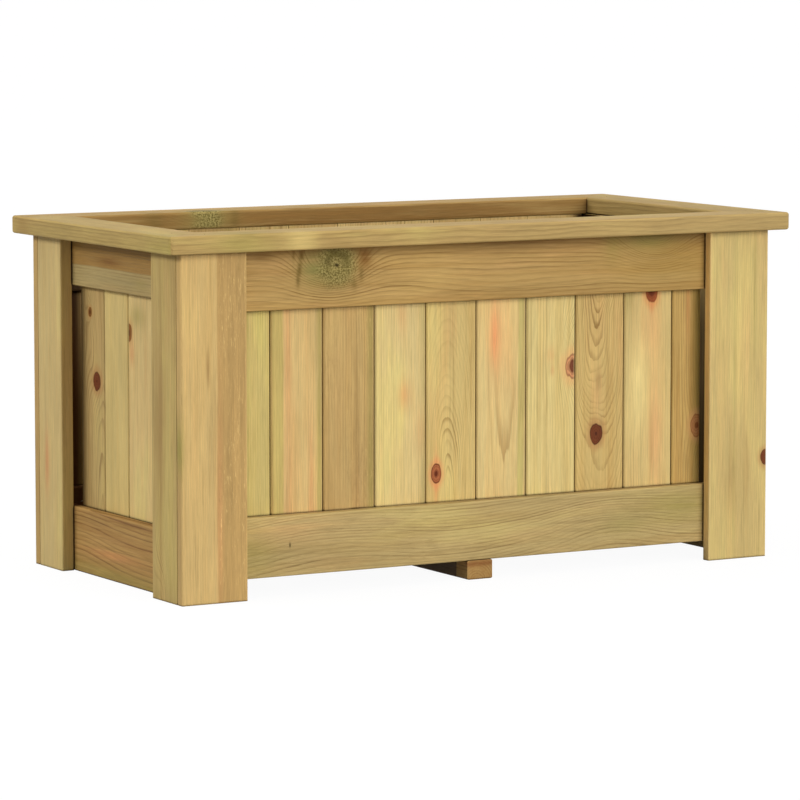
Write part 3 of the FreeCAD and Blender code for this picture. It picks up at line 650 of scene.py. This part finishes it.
def crown_strip(mesh, middle, along, out):
    """A flattened wire on a plank's inner face, with rounded shoulders; out points into the bed."""
    up = Vector((0, 0, 1))
    profile = [(-0.5, 0.0), (-0.47, 0.8), (-0.42, 1.0), (0.42, 1.0), (0.47, 0.8), (0.5, 0.0)]
    rows = []
    for share, lift in profile:
        spot = middle + along * (share * CROWN)
        rows.append([
            mesh.verts.new(spot + up * (-WIRE_WIDTH / 2)),
            mesh.verts.new(spot + up * (-WIRE_WIDTH / 3) + out * (WIRE_PROUD * lift)),
            mesh.verts.new(spot + up * (WIRE_WIDTH / 3) + out * (WIRE_PROUD * lift)),
            mesh.verts.new(spot + up * (WIRE_WIDTH / 2)),
        ])
    for first, second in zip(rows, rows[1:]):
        for k in range(4):
            after = (k + 1) % 4
            mesh.faces.new((first[k], first[after], second[after], second[k]))


def plank_staples():
    crowns = bmesh.new()
    for side, face, inward in (("front", Y, 1), ("back", Y, -1), ("left", X, 1), ("right", X, -1)):
        across = Y if face == X else X
        planks = sorted(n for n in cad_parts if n.startswith(f"plank_{side}_"))
        for plank in planks:
            low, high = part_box(plank)
            out = Vector((0, 0, 0))
            out[face] = inward
            along = Vector((0, 0, 0))
            along[across] = 1
            for level in ("top", "bottom"):
                rail_low, rail_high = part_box(f"rail_{side}_{level}")
                spot = (low + high) / 2
                spot[face] = high[face] if inward > 0 else low[face]
                spot[Z] = (rail_low[Z] + rail_high[Z]) / 2
                if level == "bottom":
                    spot[Z] = rail_high[Z] - BOTTOM_CROWN_DROP
                crown_strip(crowns, spot, along, out)
    bmesh.ops.recalc_face_normals(crowns, faces=crowns.faces)
    mesh = bpy.data.meshes.new("plank_staple_crowns")
    crowns.to_mesh(mesh)
    crowns.free()
    piece = new_object("plank_staple_crowns", mesh)
    mesh.materials.append(ZINC)
    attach(piece, "root")


plank_staples()


# Floor, light and camera

AMBIENT = 0.36
FLOOR_REACH = 60.0
FLOOR_GLOW = 1.02
FLOOR_GLOW_SHARE = 0.93
FLOOR_SEEN = (0.9, 0.9, 0.9, 1.0)
FLOOR_TO_THE_BED = (0.3, 0.3, 0.3, 1.0)
CAMERA_PLACE = (-2.49299, -4.32472, 0.73262)
CAMERA_DOWN = 0.1092
CAMERA_TURN = -0.5223
CAMERA_LENS = 196.4
CAMERA_SENSOR = 36.0


def seen_or_mirrored(shade):
    """1 for rays from the camera and for reflections, 0 for the rays that light the bed."""
    rays = shade.node("ShaderNodeLightPath")
    mirrored = shade.math("MAXIMUM", rays.outputs["Is Glossy Ray"], rays.outputs["Is Transmission Ray"])
    return rays.outputs["Is Camera Ray"], mirrored


def floor():
    """White where it is seen, with a faint shadow; a mid grey to the light that it sends back."""
    far = FLOOR_REACH
    mesh = bpy.data.meshes.new("floor")
    mesh.from_pydata([(-far, -far, 0), (far, -far, 0), (far, far, 0), (-far, far, 0)], [], [(0, 1, 2, 3)])
    plane = new_object("floor", mesh)
    shade = Shade("floor")
    seen, mirrored = seen_or_mirrored(shade)
    matt = shade.node("ShaderNodeBsdfDiffuse")
    shade.put(matt.inputs["Color"], shade.mix(seen, FLOOR_TO_THE_BED, FLOOR_SEEN))
    glow = shade.node("ShaderNodeEmission")
    glow.inputs["Strength"].default_value = FLOOR_GLOW
    both = shade.node("ShaderNodeMixShader")
    shade.put(both.inputs[0], shade.math("MAXIMUM", shade.times(seen, FLOOR_GLOW_SHARE), mirrored))
    shade.put(both.inputs[1], matt.outputs[0])
    shade.put(both.inputs[2], glow.outputs[0])
    output = shade.node("ShaderNodeOutputMaterial")
    shade.put(output.inputs["Surface"], both.outputs[0])
    mesh.materials.append(shade.material)


class Sky(Shade):
    """White where it is seen or mirrored, softer as the light on the bed."""

    def __init__(self):
        self.world = bpy.data.worlds.new("sky")
        bpy.context.scene.world = self.world
        self.world.use_nodes = True
        self.tree = self.world.node_tree
        self.tree.nodes.clear()
        seen, mirrored = seen_or_mirrored(self)
        level = self.node("ShaderNodeMapRange")
        level.inputs["To Min"].default_value = AMBIENT
        level.inputs["To Max"].default_value = 1.0
        self.put(level.inputs["Value"], self.math("MAXIMUM", seen, mirrored))
        background = self.node("ShaderNodeBackground")
        self.put(background.inputs["Strength"], level.outputs["Result"])
        output = self.node("ShaderNodeOutputWorld")
        self.put(output.inputs["Surface"], background.outputs[0])


def put_lamp(name, light, place, towards):
    made = new_object(name, light)
    made.location = place
    made.rotation_euler = Vector(towards).to_track_quat("Z", "Y").to_euler()
    return made


def sun(name, towards, share, softness):
    """A far lamp; share is how bright it makes a white face that looks at it."""
    light = bpy.data.lights.new(name, "SUN")
    light.energy = share * math.pi
    light.angle = math.radians(softness)
    return put_lamp(name, light, (0, 0, 3), towards)


def strip_lamp(name, place, power, length, width):
    """A long lamp that lies level and looks at the bed."""
    light = bpy.data.lights.new(name, "AREA")
    light.shape = "RECTANGLE"
    light.size = length
    light.size_y = width
    light.energy = power
    return put_lamp(name, light, place, place)


floor()
Sky()
sun("front_light", (0.3, -0.92, 0.24), 0.78, 42)
sun("front_fill", (-0.25, -0.95, 0.15), 0.1, 60)
sun("top_light", (0.05, 0.0, 1.0), 0.3, 50)
back_light = sun("back_light", (0.3, 0.92, 0.25), 0.26, 50)
back_light.visible_glossy = False
strip_lamp("left_light", (-4.4, 1.2, 2.1), 120, 3.0, 0.9)

camera_data = bpy.data.cameras.new("camera")
camera_data.sensor_width = CAMERA_SENSOR
camera_data.lens = CAMERA_LENS
camera_data.clip_end = 200.0
camera = new_object("camera", camera_data)
camera.location = CAMERA_PLACE
camera.rotation_euler = (math.pi / 2 - CAMERA_DOWN, 0.0, CAMERA_TURN)
bpy.context.scene.camera = camera
bpy.context.scene.view_settings.view_transform = "Standard"
